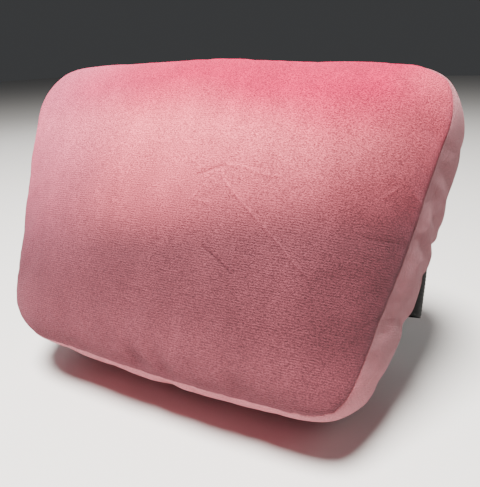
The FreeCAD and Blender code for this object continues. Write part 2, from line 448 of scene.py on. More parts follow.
def bowed_side(index):
    """Points along the side after a corner, bowed outwards, without its last one."""
    start = corner_arc(index)[2]
    end = corner_arc((index + 1) % 4)[1]
    along = end - start
    length = np.linalg.norm(along)
    count = round(length / SPACING)
    share = np.arange(count) / count
    points = start + along * share[:, None]
    outward = np.array([-along[1], along[0]]) / length
    return points + outward * (SIDE_BOW * 4 * share * (1 - share))[:, None]


def outline():
    """Front seam as (x, z) points, clockwise from the top left corner."""
    ring = np.concatenate([part(k) for k in range(4) for part in (rounded_corner, bowed_side)])
    for _ in range(OUTLINE_ROUNDS):
        ring = (np.roll(ring, 1, 0) + 2 * ring + np.roll(ring, -1, 0)) / 4
    for x in (-ZIP_BAND, -SLOT_HALF, SLOT_HALF, ZIP_BAND):
        away = np.abs(ring[:, 0] - x) + (ring[:, 1] < 0)
        ring[away.argmin(), 0] = x
    return ring


def outward_2d(along):
    """Outward unit normals from the directions along a clockwise outline."""
    return unit(np.column_stack([-along[:, 1], along[:, 0]]))


# ---- shape of the cover


def crown_share(scale, curve):
    """Share of the full crown at a share of the outline."""
    power, root = curve
    return np.clip(1 - np.abs(scale) ** power, 0, 1) ** root


def even_scale(curve, crown):
    """Function from even distance along the crowned panel to the share of the outline."""
    reach = HEIGHT / 2 + 0.02
    scale = np.concatenate([np.linspace(0, 0.9, 200), 1 - 0.1 * np.linspace(1, 0, 400)[1:] ** 3])
    rise = crown * crown_share(scale, curve)
    steps = np.hypot(np.diff(scale) * reach, np.diff(rise))
    length = np.concatenate([[0], np.cumsum(steps)])
    stretch = length[-1] / reach
    return (lambda t: np.interp(t, length / length[-1], scale)), stretch


class Panel:
    """Even triangular net over the flat front or back panel, the outline's points first."""

    def __init__(self, ring, stretch):
        self.count = len(ring)
        self.stretch = stretch
        edge = ring * stretch
        angle = np.arctan2(edge[:, 1], edge[:, 0])
        order = np.argsort(angle)
        self.angles = angle[order]
        self.radii = np.linalg.norm(edge, axis=1)[order]
        points = [Vector(p) for p in np.concatenate([edge, self.inner_points(edge)])]
        made = delaunay_2d_cdt(points, [], [list(range(self.count))], 1, 1e-7, True)
        verts, _, faces, origins = made[:4]
        place = {old: new for new, olds in enumerate(origins) for old in olds}
        order = [place[k] for k in range(self.count)]
        outer = set(order)
        order += [k for k in range(len(verts)) if k not in outer]
        back = {new: k for k, new in enumerate(order)}
        self.flat = np.array([tuple(verts[k]) for k in order])
        faces = [[back[k] for k in face] for face in faces]
        self.faces = [face for face in faces if not self.outside(face)]

    def outside(self, face):
        """True for a sliver across a hollow of the outline, which goes clockwise."""
        if max(face) >= self.count:
            return False
        a, b, c = (self.flat[k] for k in sorted(face))
        return (b[0] - a[0]) * (c[1] - a[1]) - (b[1] - a[1]) * (c[0] - a[0]) > 0

    def edge_radius(self, points):
        """Distance from the middle to the outline, in the direction of each point."""
        angle = np.arctan2(points[:, 1], points[:, 0])
        return np.interp(angle, self.angles, self.radii, period=2 * math.pi)

    def inner_points(self, edge):
        """Triangular lattice well inside the outline."""
        step = SPACING * self.stretch
        low, high = edge.min(0), edge.max(0)
        found = []
        for k, z in enumerate(np.arange(low[1], high[1], step * math.sqrt(3) / 2)):
            x = np.arange(low[0], high[0], step) + (step / 2 if k % 2 else 0)
            found.append(np.column_stack([x, np.full(len(x), z)]))
        points = np.concatenate(found)
        reach = np.linalg.norm(points, axis=1) + INNERMOST * step
        return points[reach < self.edge_radius(points)]


def crowned_panel(panel, ring, start, crown, curve, sag, to_scale):
    """Points of a crowned panel; a negative crown bulges to the front."""
    share = np.linalg.norm(panel.flat, axis=1) / panel.edge_radius(panel.flat)
    scale = to_scale(np.minimum(share, 1))
    ratio = (scale / np.maximum(share, 1e-9))[:, None]
    flat = panel.flat / panel.stretch * ratio
    flat[: len(ring)] = ring
    scale[: len(ring)] = 1
    depth = start + crown * crown_share(scale, curve)
    return np.column_stack([flat[:, 0], depth, flat[:, 1] - sag * (1 - scale)])


def depth_shares():
    """Shares of the boxing's width at which its rows lie, with two at the slot's edges."""
    near = (DEPTH / 2 - SLOT_GAP) / DEPTH
    front = np.linspace(0, near, BOXING_ROWS)
    slot = np.linspace(near, 1 - near, 5)[1:-1]
    return np.concatenate([front, slot, 1 - front[::-1]])


def boxing_row(ring, share):
    """Points of the boxing at a share of its width, its top levelled and all of it crowned."""
    settled = math.sin(math.pi * share)
    points = ring.copy()
    top = ring[:, 1] > HEIGHT / 2 - 1e-6
    points[top, 1] += (HEIGHT / 2 - points[top, 1]) * settled
    points += outward_2d(np.roll(ring, -1, 0) - np.roll(ring, 1, 0)) * BOXING_CROWN * settled**0.8
    return np.column_stack([points[:, 0], np.full(len(ring), DEPTH * share), points[:, 1]])


def top_bowed(places):
    """Places on the cover, with its top front edge bowed up between its corners."""
    across = np.clip(1 - (places[:, 0] / MID_HALF) ** 2, 0, 1)
    high = np.clip(places[:, 2] / (HEIGHT / 2), 0, 1) ** 4
    fade = np.clip(1 - np.maximum(places[:, 1], 0) / TOP_BOW_DEPTH, 0, 1)
    raised = places.copy()
    raised[:, 2] += TOP_BOW * across * high * fade * fade * (3 - 2 * fade)
    return raised


class Cover:
    """Closed cloth of the whole cover, with each face's part: the cut pieces and the slot."""

    def __init__(self):
        self.ring = outline()
        front_scale, stretch = even_scale(FRONT_CURVE, FRONT_CROWN)
        back_scale, _ = even_scale(BACK_CURVE, BACK_CROWN)
        panel = Panel(self.ring, stretch)
        front = crowned_panel(panel, self.ring, 0, -FRONT_CROWN, FRONT_CURVE, 0, front_scale)
        back = crowned_panel(panel, self.ring, DEPTH, BACK_CROWN, BACK_CURVE, BACK_SAG, back_scale)
        shares = depth_shares()
        rows = [boxing_row(self.ring, share) for share in shares[1:-1]]
        self.verts = top_bowed(np.concatenate([front, back] + rows))
        self.faces, self.parts = [], []
        for face in panel.faces:
            self.add(face, "front_panel")
            self.add([len(front) + k for k in face[::-1]], "back_panel")
        self.add_boxing(len(front), shares)
        self.orient()
        self.edges = np.array(sorted({pair for face in self.faces for pair in edge_pairs(face)}))

    def add(self, face, part):
        self.faces.append(list(face))
        self.parts.append(part)

    def add_boxing(self, size, shares):
        """Faces between the rows of the boxing, from the front panel's edge to the back's."""
        count = len(self.ring)
        starts = [0, *range(2 * size, 2 * size + (len(shares) - 2) * count, count), size]
        for k, (a, b) in enumerate(zip(starts, starts[1:])):
            for i in range(count):
                j = (i + 1) % count
                part = self.boxing_part(i, j, (shares[k] + shares[k + 1]) / 2)
                self.add([a + i, a + j, b + j, b + i], part)

    def boxing_part(self, i, j, middle):
        """Which piece of the boxing a face belongs to."""
        a, b = self.ring[i], self.ring[j]
        x = (a[0] + b[0]) / 2
        if min(a[1], b[1]) < HEIGHT / 2 - TINY or abs(x) > ZIP_BAND:
            return "main_boxing"
        if abs(middle - 0.5) * DEPTH < SLOT_GAP and abs(x) < SLOT_HALF:
            return "slot"
        return "zip_boxing_front" if middle < 0.5 else "zip_boxing_rear"

    def orient(self):
        """Turn the faces of each panel, and of the boxing, outwards together."""
        middle = np.array([0, DEPTH / 2, 0])
        groups = {}
        for k, part in enumerate(self.parts):
            groups.setdefault(part if part.endswith("panel") else "boxing", []).append(k)
        for members in groups.values():
            outward = 0
            for k in members:
                p = self.verts[self.faces[k]]
                outward += np.sign(np.cross(p[1] - p[0], p[2] - p[0]) @ (p.mean(0) - middle))
            if outward < 0:
                for k in members:
                    self.faces[k] = self.faces[k][::-1]


# ---- cloth


def seam_points(cover):
    """Which points lie on a seam between two different parts, the slot's edges left out."""
    seen = [set() for _ in cover.verts]
    for face, part in zip(cover.faces, cover.parts):
        for k in face:
            seen[k].add("main_boxing" if part == "slot" else part)
    return np.array([len(s) > 1 for s in seen])


def beside_zipper(places):
    """Which points lie at the zipper's slot."""
    near = np.abs(places[:, 1] - DEPTH / 2) < SLOT_GAP + ZIPPER_MARGIN
    return near & (np.abs(places[:, 0]) < ZIP_BAND + ZIPPER_MARGIN) & (places[:, 2] > 0.12)


def inflated(cover, rest):
    """The cover's points once its cloth, cut a little larger than its seams, is filled."""
    obj = new_object("cloth_work", rest, cover.faces)
    held = beside_zipper(cover.verts) | (rest[:, 2] < 1e-4)
    for name, members in (("pins", held), ("seams", seam_points(cover))):
        group = obj.vertex_groups.new(name=name)
        group.add(np.nonzero(members)[0].tolist(), 1.0, "REPLACE")
    modifier = obj.modifiers.new("cloth", "CLOTH")
    for name, value in CLOTH_SETTINGS.items():
        setattr(modifier.settings, name, value)
    modifier.settings.effector_weights.gravity = 0
    modifier.collision_settings.use_collision = False
    modifier.point_cache.frame_start = 1
    modifier.point_cache.frame_end = FRAMES
    scene = bpy.context.scene
    for number in range(1, FRAMES + 1):
        scene.frame_set(number)
    shown = obj.evaluated_get(bpy.context.evaluated_depsgraph_get()).data
    points = read(shown.vertices, "co", 3)
    scene.frame_set(1)
    bpy.data.objects.remove(obj)
    return points.reshape(-1, 3).astype(float)


def capped(moves):
    """Moves, none longer than the most that a point may move."""
    length = np.linalg.norm(moves, axis=1)
    return moves * np.minimum(1, MOST_MOVE / np.maximum(length, 1e-9))[:, None]


def on_surface(points, lowest=0):
    """Points, none below the surface that the cushion stands on."""
    raised = points.copy()
    raised[:, 2] = np.maximum(raised[:, 2], lowest)
    return raised


def fold_gain(cover):
    """How much of the cloth's own folds each point keeps: little on the taut front."""
    depth = cover.verts[:, 1]
    gain = np.where(depth < TINY, FRONT_FOLDS, np.where(depth > DEPTH, BACK_FOLDS, SIDE_FOLDS))
    return smoothed(gain[:, None], cover.edges, 6)


def filled_cover(cover):
    """The cover's final coarse points in the row frame: its form, with the cloth's own folds."""
    rest = on_surface(to_frame(cover.verts))
    moves = inflated(cover, rest) - rest
    swell = smoothed(moves, cover.edges, SWELL_ROUNDS)
    moved = capped(swell * SWELL) + capped((moves - swell) * fold_gain(cover))
    loose = np.where(beside_zipper(cover.verts), 0.0, 1.0)[:, None]
    moved *= np.minimum(loose, smoothed(loose, cover.edges, 8) ** 2)
    return on_surface(rest + moved)


# ---- sewn pieces


def sharp_edges(cover, mesh):
    """For each edge of a mesh, 1 where two different parts meet, and otherwise 0."""
    beside = {}
    for face, part in zip(cover.faces, cover.parts):
        for pair in edge_pairs(face):
            beside.setdefault(pair, set()).add(part)
    return [float(len(beside[tuple(sorted(edge.vertices))]) > 1) for edge in mesh.edges]


class Fine:
    """The closed cover with every face divided, its seams kept sharp."""

    def __init__(self, cover, points):
        obj = new_object("divide_work", points, cover.faces)
        add_attribute(obj, "part", [CUT.index(name) for name in cover.parts], "INT", "FACE")
        add_attribute(obj, "crease_edge", sharp_edges(cover, obj.data), "FLOAT", "EDGE")
        add_attribute(obj, "flat_depth", cover.verts[:, 1])
        obj.modifiers.new("divide", "SUBSURF").levels = 1
        mesh = applied(obj).data
        places = read(mesh.vertices, "co", 3).reshape(-1, 3).astype(float)
        self.faces = read(mesh.loops, "vertex_index", kind=np.int32).reshape(-1, 4).astype(int)
        self.parts = read(mesh.attributes["part"].data, "value", kind=np.int32)
        self.flat_depth = read(mesh.attributes["flat_depth"].data, "value")
        bpy.data.objects.remove(obj)
        self.move_to(places)
        beside = np.zeros(len(self.verts), int)
        np.bitwise_or.at(beside, self.faces.ravel(), np.repeat(1 << self.parts, 4))
        slot = CUT.index("slot")
        self.on_slot = (beside >> slot & 1) > 0
        self.on_seam = sum(beside >> k & 1 for k in range(slot)) > 1
        self.front = beside == 1 << CUT.index("front_panel")
        seam = tree_of(self.verts[self.on_seam])
        self.seam_distance = np.array([seam.find(point)[2] for point in self.verts])
        self.fold_offset, self.fold_strength, self.nap = np.zeros((3, len(self.verts)))

    def move_to(self, points):
        self.verts = on_surface(points)
        self.normals = normals_of(self.verts, self.faces)
        self.places = to_upright(self.verts)

    def push(self, depth):
        """Move the points inwards by a depth each."""
        self.move_to(self.verts - self.normals * depth[:, None])


def press_folds(fine):
    """Press the faint folds into the front panel and note where they lie, for the painted highlight or
    shade that its material puts along them.
    """
    flat = fine.places[:, [0, 2]]
    nearest = np.full(len(flat), FOLD_REACH)
    for points, strength in PRESSED_FOLDS:
        for start, end in zip(np.array(points), np.array(points[1:])):
            length = np.linalg.norm(end - start)
            along = (end - start) / length
            share = (flat - start) @ along
            offset = (flat - start) @ np.array([-along[1], along[0]])
            past = np.maximum(np.maximum(-share, share - length), 0)
            distance = np.hypot(past, offset)
            near = fine.front & (distance < nearest)
            nearest[near] = distance[near]
            fine.fold_offset[near] = offset[near]
            fade = np.clip(1 - past / FOLD_END, 0, 1)
            fade *= np.clip(3 - 3 * np.abs(offset) / FOLD_REACH, 0, 1)
            fine.fold_strength[near] = (strength * fade)[near]
    shape = np.exp(-((fine.fold_offset / FOLD_WIDTH) ** 2))
    fine.push(-FOLD_DEPTH * shape * fine.fold_strength)


def hollow(flat, row, lost, wider):
    """Depth of one soft hollow at flat points, with a share of it lost at its end."""
    start, end, deep, width = row
    away = flat - np.array(start)
    along = np.array(end) - np.array(start)
    share = np.clip(away @ along / (along @ along), 0, 1)
    distance = np.linalg.norm(away - share[:, None] * along, axis=1)
    return deep * (1 - lost * share) * np.exp(-((distance / (width * wider)) ** 2))


def front_hollows(fine):
    """Soft hollows that run from the seams into the front panel, with painted shade in them."""
    flat = fine.places[:, [0, 2]]
    depth = sum(hollow(flat, row, HOLLOW_END, HOLLOW_WIDER) for row in FRONT_HOLLOWS)
    near = np.clip(fine.seam_distance / HOLLOW_FADE, 0, 1)
    depth *= (fine.places[:, 1] < 2 * TINY) * near * near * (3 - 2 * near)
    # A hollow also darkens the plush's colour by its depth: painted shade.
    fine.nap += depth / HOLLOW_DARKEST
    fine.push(depth)


def dent_depth(places, wider=1.0):
    """Depth of the dents where the filling and the strap pull at the sides and the rear seam."""
    depth = np.zeros(len(places))
    for side, *row in SIDE_DENTS:
        depth += (places[:, 0] * side > DENTED) * hollow(places[:, [1, 2]], row, 1, wider)
    return depth


def pucker_seams(fine, ring):
    """Small irregular tucks that run from the front and the rear seam into the boxing."""
    rng = np.random.default_rng(11)
    depth = np.zeros(len(fine.verts))
    on_boxing = (fine.places[:, 1] > -TINY) & (fine.places[:, 1] < DEPTH + TINY)
    share = np.where(on_boxing, 1.0, PANEL_TUCKS)
    for seam in (0, DEPTH):
        row = np.column_stack([ring[:, 0], np.full(len(ring), seam), ring[:, 1]])
        index = 0
        while index < len(row) - 4:
            index += int(rng.integers(*TUCK_STEPS))
            k = index % len(row)
            along = row[(k + 1) % len(row)] - row[k - 1]
            along /= np.linalg.norm(along)
            reach, deep, width, lean = (
                rng.uniform(*span) for span in (TUCK_REACH, TUCK_DEEP, TUCK_WIDTH, TUCK_LEAN)
            )
            away = fine.places - row[k]
            run = away @ along
            rise = np.sqrt(np.maximum((away**2).sum(1) - run**2, 0))
            run = run - lean * rise
            gain = REAR_TUCKS if seam else FRONT_TUCKS + BOTTOM_TUCKS * (row[k, 2] < -0.1)
            fall = np.exp(-((rise / reach) ** 2)) * np.exp(-((run / (width * 1e-3)) ** 2))
            depth += PUCKER * deep * (share * gain) * fall
    depth[beside_zipper(fine.places)] = 0
    fine.push(depth)


def rim_axes(verts, normals, faces, start, end):
    """The rim's points of a cut piece, and the directions into the piece, along it and up there."""
    rim = np.unique(start)
    inward = np.zeros_like(verts)
    middle = verts[faces].mean(1)
    for k in range(4):
        np.add.at(inward, faces[:, k], unit(middle - verts[faces[:, k]]))
    along = np.zeros_like(verts)
    for points in (start, end):
        np.add.at(along, points, verts[end] - verts[start])
    inward = square_to(inward[rim], unit(along[rim]))
    return rim, inward, square_to(inward, normals[rim]), normals[rim]


def cut_out(fine, name, slot):
    """One cut piece of the cover, with its edges turned into its seams."""
    used, faces = np.unique(fine.faces[fine.parts == CUT.index(name)], return_inverse=True)
    faces = faces.reshape(-1, 4)
    verts, count = fine.verts[used], len(used)
    first, second = faces.ravel(), np.roll(faces, -1, 1).ravel()
    open_edge = ~np.isin(first * count + second, second * count + first)
    start, end = first[open_edge], second[open_edge]
    rim, inward, across, up = rim_axes(verts, fine.normals[used], faces, start, end)
    slotted = fine.on_slot[used][rim][:, None, None]
    turn = np.where(slotted, np.array(SLOT_TURN), np.array(SEAM_TURN)) * 1e-3
    rows = []
    for on, aside, down in turn.transpose(1, 2, 0)[..., None]:
        rows.append(verts[rim] + inward * on + across * aside - up * down)
    verts[rim] = rows[0]
    quads, before = [faces], np.arange(count)
    for step in range(len(rows) - 1):
        after = before.copy()
        after[rim] = count + step * len(rim) + np.arange(len(rim))
        quads.append(np.column_stack([before[end], before[start], after[start], after[end]]))
        before = after
    obj = new_object(name, np.concatenate([verts] + rows[1:]), np.concatenate(quads).tolist())
    turned_in = np.zeros(len(rim) * (len(rows) - 1))
    for label in ("seam_distance", "fold_offset", "fold_strength", "nap"):
        add_attribute(obj, label, np.concatenate([getattr(fine, label)[used], turned_in]))
    return finished(shell(obj, CLOTH), slot, name)


def seam_path(fine, depth):
    """Points and normals of the seam at a depth, in order round the cushion."""
    on = np.nonzero(fine.on_seam & (np.abs(fine.flat_depth - depth) < TINY))[0]
    on = on[np.argsort(np.arctan2(fine.places[on, 2], fine.places[on, 0]))]
    return fine.verts[on], fine.normals[on]


# ---- tubes and bands


def tube_sides(along, normal):
    """Unit vectors square to a path: level with a ring's plane, or carried on along an open path."""
    if normal is not None:
        return unit(np.cross(np.broadcast_to(normal, along.shape), along))
    side = np.zeros_like(along)
    ahead = np.cross(along[0], (0.3, 0.5, 0.8))
    for k, direction in enumerate(along):
        ahead = ahead - direction * (ahead @ direction)
        ahead /= np.linalg.norm(ahead)
        side[k] = ahead
    return side


def tube(points, radius, normal=None):
    """Points and faces of a tube along a path, closed into a ring where a normal is given."""
    count, ring = len(points), normal is not None
    along = unit(np.roll(points, -1, 0) - np.roll(points, 1, 0) if ring else np.gradient(points, axis=0))
    side = tube_sides(along, normal)
    up = np.cross(along, side)
    angles = 2 * math.pi * np.arange(TUBE_SIDES) / TUBE_SIDES
    turned = np.cos(angles)[:, None] * side[:, None] + np.sin(angles)[:, None] * up[:, None]
    wide = np.broadcast_to(radius, count)[:, None, None]
    verts = (points[:, None] + wide * turned).reshape(-1, 3)
    faces = []
    for a, b, c, d in grid(count + ring, TUBE_SIDES):
        faces.append([k % len(verts) for k in (a, d, c, b)])
    if not ring:
        faces += [list(range(TUBE_SIDES))[::-1], list(range(len(verts) - TUBE_SIDES, len(verts)))]
    return verts, faces


def add_tube(name, slot, points, radius, normal=None):
    finished(new_object(name, *tube(points, radius, normal)), slot, name)


def stitch_row(path, up):
    """Points and faces of a row of stitches along a path, each dipping into the cloth at its ends."""
    run = run_along(path)
    share = np.linspace(0, 1, 7)[:, None]
    rise = np.sin(math.pi * share) ** 0.5
    thick = STITCH_THICK * (0.55 + 0.45 * rise[:, 0])
    verts, faces = [], []
    for k in range(int(run[-1] // (STITCH + STITCH_GAP))):
        here = k * (STITCH + STITCH_GAP)
        start, end = at_lengths(path, run, [here, here + STITCH])
        bow = start + (end - start) * share + up * STITCH_THICK * (1.1 * rise - 0.6)
        points, quads = tube(bow, thick)
        faces += [[i + k * len(points) for i in quad] for quad in quads]
        verts.append(points)
    return np.concatenate(verts), faces


def add_band(name, slot, sections, run, across, flip=False):
    """A woven band through closed sections, which notes how far along and across it points lie."""
    rows, size = len(run), len(across)
    faces = grid(rows, size)
    faces += [list(range(size)), list(range((rows - 1) * size, rows * size))[::-1]]
    if flip:
        faces = [face[::-1] for face in faces]
    obj = new_object(name, to_frame(np.concatenate(sections)), faces)
    add_attribute(obj, "along", np.repeat(run, size))
    add_attribute(obj, "across", np.tile(across, rows))
    finished(obj, slot, name)


# ---- strap


def loop_path():
    """Even points along the strap's loop as (x, depth), their outward normals and their run."""
    turns = np.linspace(-LOOP_TAIL, math.pi + LOOP_TAIL, 1500)
    across, along = (superellipse(way(turns), 2 / LOOP_POWER) for way in (np.cos, np.sin))
    path = np.column_stack([LOOP[0] * across, LOOP[1] + LOOP[2] * along])
    run = run_along(path)
    even = np.linspace(0, run[-1], round(run[-1] / STRAP_STEP))
    path = at_lengths(path, run, even)
    return path, -outward_2d(np.gradient(path, axis=0)), even


def strap_section():
    """The elastic's section: places across it, and half its thickness there, ribbed lengthwise."""
    across = np.linspace(-1, 1, 97)
    ribs = 0.5 + 0.5 * np.cos(across * STRAP_WIDTH / 2 / RIB_PITCH * 2 * math.pi)
    edge = np.clip((1 - np.abs(across)) * STRAP_WIDTH / 2 / STRAP, 0, 1) ** 0.5
    half = (STRAP / 2 - RIB_DEPTH * (1 - ribs)) * np.maximum(edge, 0.12)
    across = across * STRAP_WIDTH / 2
    return np.concatenate([across, across[::-1]]), np.concatenate([half, -half[::-1]])


def add_strap():
    """The elastic strap: ribbed, a little wavy, and leaning out along its lower edge."""
    path, outward, run = loop_path()
    across, thick = strap_section()
    sections = []
    for place, away, reach in zip(path, outward, run):
        share = reach / run[-1]
        free = math.sin(math.pi * share) ** 0.5 if 0 < share < 1 else 0
        lift = STRAP_LIFT * math.sin(5.2 * share * math.pi + 0.6) * free
        lean = free * (0.05 + 0.035 * math.sin(7 * math.pi * share + 0.4))
        ripple = STRAP_RIPPLE * math.sin(reach / 0.031) * free
        out = thick - across * lean + ripple * np.sin(across / 0.012 + reach / 0.05)
        flat = place + away * out[:, None]
        sections.append(np.column_stack([flat, STRAP_MIDDLE + lift + across]))
    add_band("elastic_strap", "elastic", sections, run, across)


def add_tack(side, name):
    """A dense zigzag that holds one end of the strap, just outside the rear seam."""
    path, outward, _ = loop_path()
    if side < 0:
        path, outward = path[::-1], outward[::-1]
    start = int(np.argmax(path[:, 1] > DEPTH + TACK_FROM))
    near = path[start] + outward[start] * (STRAP / 2 + TACK_LIFT)
    ahead = (path[start + 1] - path[start]) * TACK_WIDE
    half = STRAP_WIDTH / 2 - TACK_EDGE
    heights = STRAP_MIDDLE + np.linspace(-half, half, TACK_TURNS)
    points = [[*(near if k % 2 else near + ahead), height] for k, height in enumerate(heights)]
    add_tube(name, "black_thread", to_frame(points), TACK_THICK)


# ---- zipper


def add_tape(side, name):
    """Woven tape beside the coil, thinner at both edges and a little wavy where it lies free."""
    share = np.linspace(0, 1, 13)
    half = TAPE / 2 * np.clip(np.minimum(share, 1 - share) * 20, 0.25, 1)
    across = TAPE_IN + TAPE_WIDTH * share
    across = np.concatenate([across, across[::-1]])
    run = np.linspace(-SLOT_HALF, SLOT_HALF, 145)
    sections = []
    for x in run:
        height = TAPE_TOP - TAPE / 2 + TAPE_WAVE * np.sin(x / 0.011 + 2 * share) * (share > 0.3)
        level = np.concatenate([height + half, (height - half)[::-1]])
        place = [np.full(len(across), x), DEPTH / 2 + side * across, level]
        sections.append(np.column_stack(place))
    add_band(name, "zipper_tape", sections, run, across, side > 0)


def add_coil(side, name):
    """The coil: one wound filament, flattened, with its turns as the zipper's teeth."""
    steps = round(2 * COIL_HALF / COIL_PITCH) * COIL_STEPS
    angle = np.arange(steps + 1) * 2 * math.pi / COIL_STEPS
    x = np.linspace(-COIL_HALF, COIL_HALF, steps + 1) + (COIL_PITCH / 4 if side > 0 else 0)
    y = DEPTH / 2 + side * (COIL_MIDDLE + COIL_REACH * superellipse(np.cos(angle), 0.7))
    z = TAPE_TOP + COIL_RISE + COIL_HIGH * np.sin(angle)
    add_tube(name, "zipper_coil", to_frame(np.column_stack([x, y, z])), COIL_WIRE)


def add_topstitch(fine, side, name):
    """Lockstitch along one strip of boxing, beside the zipper's slot."""
    x = np.linspace(TOPSTITCH_END - SLOT_HALF, SLOT_HALF - TOPSTITCH_END, 97)
    y = DEPTH / 2 + side * (SLOT_GAP + TOPSTITCH)
    tree = tree_of(fine.places)
    height = [tree.find((at, y, HEIGHT / 2 + BOXING_CROWN))[0][2] for at in x]
    height = np.convolve(np.pad(height, 2, "edge"), np.ones(5) / 5, "valid")
    path = to_frame(np.column_stack([x, np.full(len(x), y), height]))
    finished(new_object(name, *stitch_row(path, TURN @ (0, 0, 1))), "pink_thread")


def add_metal(name, body, width):
    """A copy of a metal CAD node with its edges rounded."""
    obj = placed(name + "_rounded", frame["nodes"][name].data.copy())
    flat = obj.modifiers.new("flat", "DECIMATE")
    flat.decimate_type = "DISSOLVE"
    flat.angle_limit = math.radians(2)
    bevel = obj.modifiers.new("bevel", "BEVEL")
    bevel.width = width
    bevel.segments = 2
    bevel.limit_method = "ANGLE"
    bevel.angle_limit = math.radians(35)
    applied(obj)
    obj.data.shade_smooth()
    obj.data.set_sharp_from_angle(angle=math.radians(50))
    finished(obj, "zipper_metal", name, body=body)


# ---- threads and label


def add_seam_thread(path, normals, name):
    """The seam's thread, just below where its two sides meet."""
    middle = path - normals * THREAD_DEPTH
    closed = np.concatenate([middle, middle[:1]])
    run = run_along(closed)
    even = np.linspace(0, run[-1], round(run[-1] / THREAD_STEP), endpoint=False)
    radius = THREAD_THICK * (0.7 + 0.3 * np.abs(np.sin(math.pi * even / THREAD_TWIST)))
    add_tube(name, "pink_thread", at_lengths(closed, run, even), radius, TURN @ (0, 1, 0))


def add_label(rear_path):
    """Blank satin label, folded in two, that stands out of the rear seam at the left."""
    left = to_upright(rear_path)
    left = left[left[:, 0] < 0]
    left = left[np.argsort(left[:, 2])]
    heights = np.linspace(LABEL_LOW, LABEL_LOW + LABEL_WIDTH, LABEL_ROWS)
    ends = heights[[0, -1]]
    seam = [np.interp(heights, ends, np.interp(ends, left[:, 2], left[:, k])) for k in (0, 1)]
    turn = np.linspace(-math.pi / 2, math.pi / 2, 9)
    out = np.concatenate([np.linspace(0, 1, 9)[:-1], 1 + 0.12 * np.cos(turn), np.linspace(1, 0, 9)[1:]])
    aside = np.concatenate([np.full(8, -1.0), np.sin(turn), np.full(8, 1.0)])
    verts = []
    for k, height in enumerate(heights):
        x = seam[0][k] + LABEL_INSIDE - (LABEL_OUT + LABEL_INSIDE) * out
        bend = LABEL_LEAN + LABEL_BEND * math.sin(k / (LABEL_ROWS - 1) * math.pi * 1.3)
        y = seam[1][k] + LABEL_GAP * aside * (0.35 + 0.65 * np.clip(out, 0, 1)) + bend * out**2
        verts.append(np.column_stack([x, y, np.full(len(out), height)]))
    faces = grid(LABEL_ROWS, len(out), closed=False)
    obj = new_object("care_label", to_frame(np.concatenate(verts)), faces)
    add_attribute(obj, "along", np.tile(out, LABEL_ROWS))
    add_attribute(obj, "across", np.repeat(heights, len(out)))
    finished(shell(obj, LABEL_THICK), "label_satin", "care_label")


# ---- insert


def insert_points(cover, points, inset):
    """The cover's points moved inwards and rounded, for what lies inside it."""
    inner = smoothed(points, cover.edges, 12)
    pressed = PRESSED_MORE * dent_depth(to_upright(points), PRESSED_WIDER)
    inner -= normals_of(inner, cover.faces) * (inset + pressed[:, None])
    return on_surface(smoothed(inner, cover.edges, 4), inset)


def add_insert(cover, points):
    """The white case in two halves, and the fibre fill inside it."""
    inner = insert_points(cover, points, CASE_INSET)
    halves = {"insert_case_front": [], "insert_case_back": []}
    for face in cover.faces:
        rear = cover.verts[face, 1].mean() > DEPTH / 2
        halves["insert_case_back" if rear else "insert_case_front"].append(face)
    for name, faces in halves.items():
        used = np.unique(np.concatenate(faces))
        place = dict(zip(used.tolist(), range(len(used))))
        obj = new_object(name, inner[used], [[place[k] for k in face] for face in faces])
        finished(shell(obj, CASE), "insert_cotton", name)
    fill = new_object("fibre_fill", insert_points(cover, points, FILL_INSET), cover.faces)
    finished(fill, "fibre", "fibre_fill")


# ---- shader values


class Value:
    """A shader node's output, which can be added, multiplied and so on."""

    def __init__(self, socket):
        self.socket = socket

    def __add__(self, other):
        return maths("ADD", self, other)

    def __sub__(self, other):
        return maths("SUBTRACT", self, other)

    def __rsub__(self, other):
        return maths("SUBTRACT", other, self)

    def __mul__(self, other):
        return maths("MULTIPLY", self, other)

    def ranged(self, low, high, new_low=0.0, new_high=1.0):
        """Its share of the way from low to high, eased, as a number between two others."""
        inputs = {"Value": self, "From Min": low, "From Max": high}
        inputs.update({"To Min": new_low, "To Max": new_high})
        return node(self.socket.id_data, "MapRange", inputs, interpolation_type="SMOOTHSTEP")


def node(tree, kind, inputs=(), output=0, **settings):
    """Output of a new shader node; an input is a number, a colour or another node's output."""
    made = tree.nodes.new("ShaderNode" + kind)
    for key, value in settings.items():
        setattr(made, key, value)
    for key, value in dict(inputs).items():
        if isinstance(value, Value):
            tree.links.new(value.socket, made.inputs[key])
        else:
            made.inputs[key].default_value = value
    return Value(made.outputs[output])


def maths(operation, first, second=0.0):
    tree = (first if isinstance(first, Value) else second).socket.id_data
    return node(tree, "Math", {0: first, 1: second}, operation=operation)


def noise(tree, place, scale, detail=2.0, stretch=(1, 1, 1), rough=0.5):
    scaled = node(tree, "Mapping", {"Vector": place, "Scale": stretch})
    inputs = {"Vector": scaled, "Scale": scale, "Detail": detail, "Roughness": rough}
    return node(tree, "TexNoise", inputs)


def mixed(tree, share, first, second, blend="MIX"):
    inputs = {"Fac": share, "Color1": first, "Color2": second}
    return node(tree, "MixRGB", inputs, blend_type=blend)


def attribute(tree, name):
    return node(tree, "Attribute", output="Fac", attribute_name=name)


def linear(color):
    """A colour given as 0 to 255 screen values, as the shaders need it."""
    share = [c / 255 for c in color]
    return tuple(s / 12.92 if s <= 0.04045 else ((s + 0.055) / 1.055) ** 2.4 for s in share) + (1,)


def new_material(name, values):
    """New material, its tree and its shader, with uniform values for some of its inputs."""
    material = bpy.data.materials.new(name)
    material.use_nodes = True
    shader = material.node_tree.nodes["Principled BSDF"]
    for key, value in values.items():
        shader.inputs[key].default_value = value
    return material, material.node_tree, shader


def feed(shader, name, value):
    value.socket.id_data.links.new(value.socket, shader.inputs[name])


